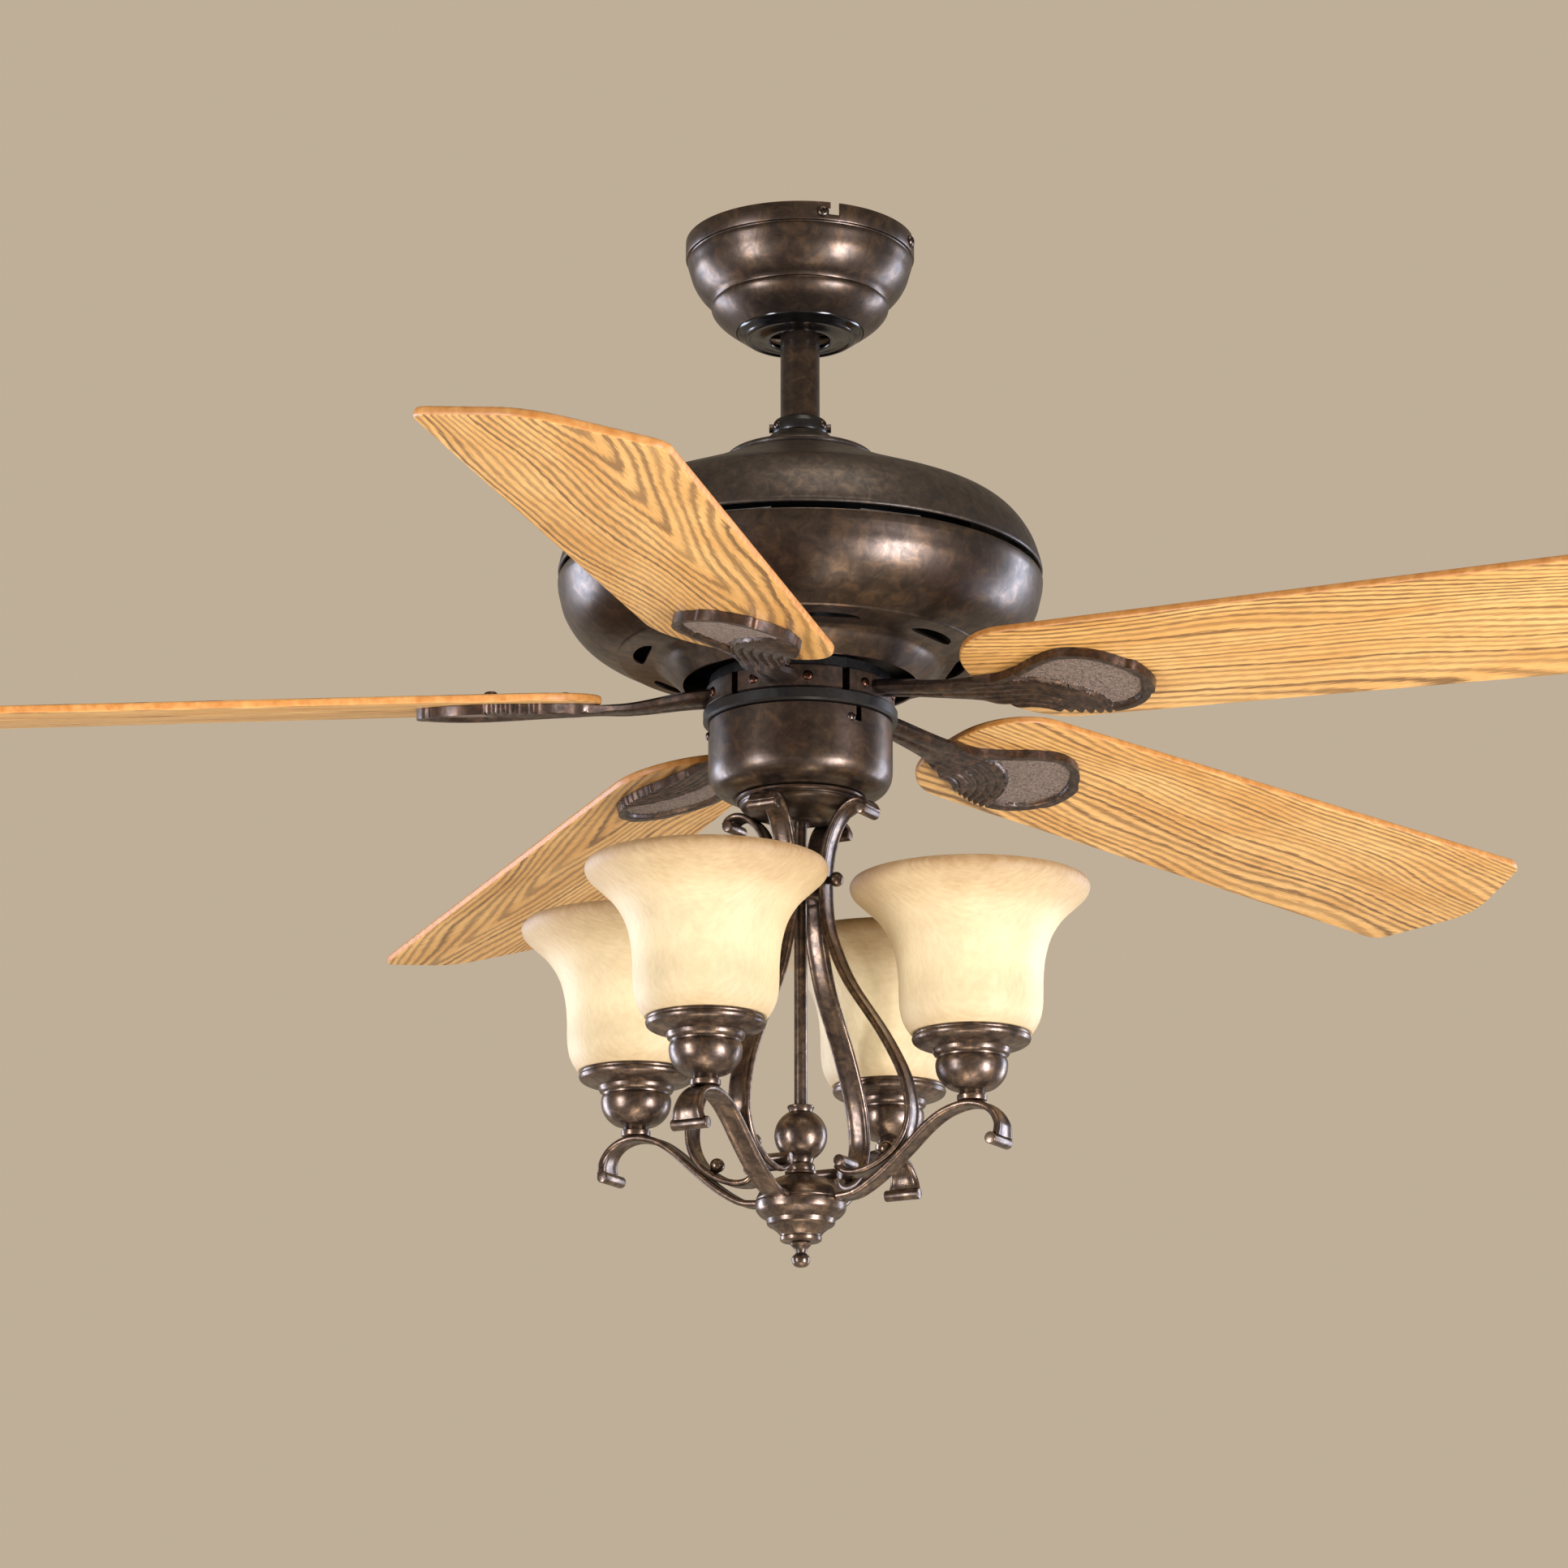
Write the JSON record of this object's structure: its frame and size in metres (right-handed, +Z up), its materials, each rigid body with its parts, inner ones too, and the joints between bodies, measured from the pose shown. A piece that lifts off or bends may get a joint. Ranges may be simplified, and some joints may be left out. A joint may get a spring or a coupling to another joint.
{
  "type": "ceiling fan with light",
  "caption": "Ceiling fan on a short down-rod, wooden paddle blades on cast irons, with a scrolled light kit of upright glass bell shades below.",
  "frame": {"origin": "middle of the hanger bracket's top face, on the ceiling plane and on the fan's axis", "axes": "+Z up towards the ceiling, the fan hangs towards -Z; -Y is the side the picture shows"},
  "size_m": [1.2738, 1.2932, 0.709],
  "materials": {
    "bronze": "oil-rubbed bronze, satin",
    "cast_bronze": "cast, oil-rubbed bronze",
    "black_paint": "satin black",
    "copper_screw": "coppery plated",
    "zinc_steel": "zinc plated",
    "winding": "varnished windings on laminations",
    "black_plastic": "matte",
    "oak_blade": "oak veneer, satin lacquer",
    "frosted_glass": "frosted, tea-stained, lit from inside",
    "bulb_glass": "soft white, lit"
  },
  "bodies": {
    "ceiling_side": {"hanger_bracket": "zinc_steel", "canopy": "bronze", "canopy_screw_1": "copper_screw", "canopy_screw_2": "copper_screw"},
    "hanging_frame": {"hanger_ball": "black_plastic", "hanger_ball_pin": "zinc_steel", "downrod": "bronze", "yoke_collar": "black_paint", "coupling_bolt": "zinc_steel", "motor_shaft": "zinc_steel", "motor_top_cap": "bronze", "motor_housing_top": "bronze", "motor_housing_bottom": "bronze", "stator": "winding", "switch_mount_plate": "black_paint", "switch_housing": "bronze", "light_kit_cap": "bronze", "light_kit_rod": "bronze", "strap_collar": "bronze", "centre_ball": "bronze", "arm_hub": "bronze", "finial": "bronze", "light_arm_1": "bronze", "scroll_strap_1": "bronze", "lamp_cup_1": "bronze", "lamp_socket_1": "black_plastic", "glass_shade_1": "frosted_glass", "bulb_1": "bulb_glass", "light_arm_2": "bronze", "scroll_strap_2": "bronze", "lamp_cup_2": "bronze", "lamp_socket_2": "black_plastic", "glass_shade_2": "frosted_glass", "bulb_2": "bulb_glass", "light_arm_3": "bronze", "scroll_strap_3": "bronze", "lamp_cup_3": "bronze", "lamp_socket_3": "black_plastic", "glass_shade_3": "frosted_glass", "bulb_3": "bulb_glass", "light_arm_4": "bronze", "scroll_strap_4": "bronze", "lamp_cup_4": "bronze", "lamp_socket_4": "black_plastic", "glass_shade_4": "frosted_glass", "bulb_4": "bulb_glass"},
    "rotor": {"rotor_can": "black_paint", "flywheel": "black_paint", "blade_iron_1": "cast_bronze", "blade_1": "oak_blade", "blade_iron_2": "cast_bronze", "blade_2": "oak_blade", "blade_iron_3": "cast_bronze", "blade_3": "oak_blade", "blade_iron_4": "cast_bronze", "blade_4": "oak_blade", "blade_iron_5": "cast_bronze", "blade_5": "oak_blade"},
    "switch_slider": {"reverse_switch": "black_plastic"}
  },
  "joints": [
    {"name": "hanger_swing", "type": "hinge", "parent": "ceiling_side", "child": "hanging_frame", "pos_m": [0, 0, -0.04274], "axis": [1, 0, 0], "range_deg": [-12, 12]},
    {"name": "fan_spin", "type": "hinge", "parent": "hanging_frame", "child": "rotor", "pos_m": [0, 0, -0.324], "axis": [0, 0, 1], "continuous": true},
    {"name": "reverse_slide", "type": "slide", "parent": "hanging_frame", "child": "switch_slider", "axis": [0, 0, 1], "range_m": [-0.004, 0.004]}
  ]
}
